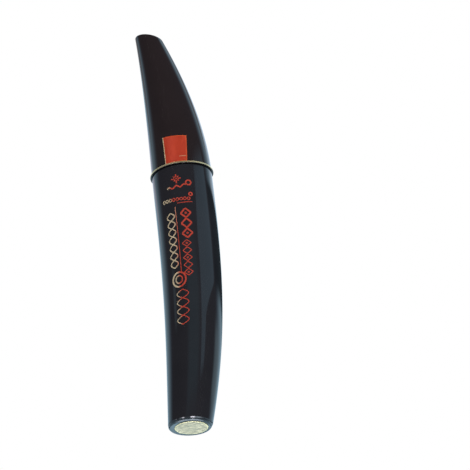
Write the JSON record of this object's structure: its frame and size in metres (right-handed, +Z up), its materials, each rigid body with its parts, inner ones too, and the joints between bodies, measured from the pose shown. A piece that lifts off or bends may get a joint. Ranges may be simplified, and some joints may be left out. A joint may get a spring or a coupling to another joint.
{
  "type": "mascara tube",
  "caption": "Curved glossy screw-cap mascara tube on a flat foot, with a gold seam ring and a brush wand carried by the cap.",
  "frame": {"origin": "centre of the base's bottom face, on the ground", "axes": "+Z up along the base normal, tip of the cap bending towards -X, foil panel facing -Y"},
  "size_m": [0.0222, 0.019, 0.1284],
  "materials": {
    "black_gloss": "high gloss",
    "vial_plastic": "natural translucent",
    "wiper_soft": "soft natural",
    "plug_black": "gloss",
    "label_gold": "brushed pale gold foil",
    "formula_black": "thick wet paste",
    "trim_gold": "polished pale gold",
    "washer_soft": "soft foam",
    "black_gloss_cap": "high gloss",
    "liner_plastic": "natural",
    "foil_red": "red-orange metallic foil with a gold outline",
    "rod_black": "satin",
    "wire_steel": "twisted wire",
    "bristle_nylon": "nylon fibres"
  },
  "bodies": {
    "bottle": {"bottle_shell": "black_gloss", "vial": "vial_plastic", "wiper": "wiper_soft", "base_plug": "plug_black", "base_label": "label_gold", "mascara_formula": "formula_black"},
    "seal": {"seal_washer": "washer_soft"},
    "collar": {"trim_ring": "trim_gold"},
    "cap": {"cap_shell": "black_gloss_cap", "cap_liner": "liner_plastic", "cap_foil_panel": "foil_red", "rod": "rod_black", "brush_core": "wire_steel", "bristles": "bristle_nylon"}
  },
  "joints": [
    {"name": "wand_draw", "type": "slide", "parent": "bottle", "child": "seal", "axis": [-0.0532, 0, 0.9986], "range_m": [0, 0.08], "deforming": ["bristles"]},
    {"name": "cap_lift", "type": "slide", "parent": "seal", "child": "collar", "axis": [-0.0532, 0, 0.9986], "range_m": [0, 0.0046]},
    {"name": "cap_turn", "type": "hinge", "parent": "collar", "child": "cap", "pos_m": [0.00145, 0, 0.0809], "axis": [-0.0532, 0, 0.9986], "range_deg": [0, 540]}
  ],
  "couplings": [
    {"joint": "cap_lift", "follows": "cap_turn", "m_per_rad": 0.00047746}
  ]
}
